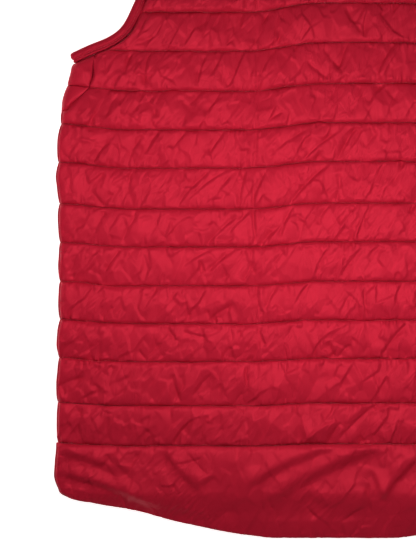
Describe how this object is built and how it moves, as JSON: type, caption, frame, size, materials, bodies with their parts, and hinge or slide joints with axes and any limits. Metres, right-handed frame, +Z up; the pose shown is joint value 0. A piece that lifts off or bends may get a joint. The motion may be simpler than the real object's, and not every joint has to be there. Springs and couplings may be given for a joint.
{
  "type": "puffer vest",
  "caption": "Sleeveless quilted puffer vest with a stand collar, bound armholes, front zip and drop-tail hem, lying flat with its back uppermost.",
  "frame": {"origin": "on the surface the vest lies on, under the middle of its box", "axes": "+Y from hem to collar, +X towards the wearer's right, +Z up, out of the wearer's back"},
  "size_m": [0.5618, 0.8104, 0.0188],
  "materials": {
    "shell_fabric": "satin woven nylon, quilted over padding",
    "binding_fabric": "satin woven nylon strip",
    "zip_tape": "matte woven tape",
    "zip_teeth": "moulded plastic",
    "zip_metal": "enamelled die-cast metal"
  },
  "bodies": {
    "vest": {"back_panel": "shell_fabric", "front_left": "shell_fabric", "front_right": "shell_fabric", "collar": "shell_fabric", "armhole_binding_left": "binding_fabric", "armhole_binding_right": "binding_fabric", "zip_tape_left": "zip_tape", "zip_tape_right": "zip_tape", "zip_chain": "zip_teeth", "zip_box": "zip_teeth", "zip_slider": "zip_metal"},
    "pull": {"zip_pull": "zip_metal"}
  },
  "joints": [
    {"name": "zip_pull_hinge", "type": "hinge", "parent": "vest", "child": "pull", "pos_m": [0, 0.3097, 0.00145], "axis": [1, 0, 0], "range_deg": [0, 170]}
  ]
}
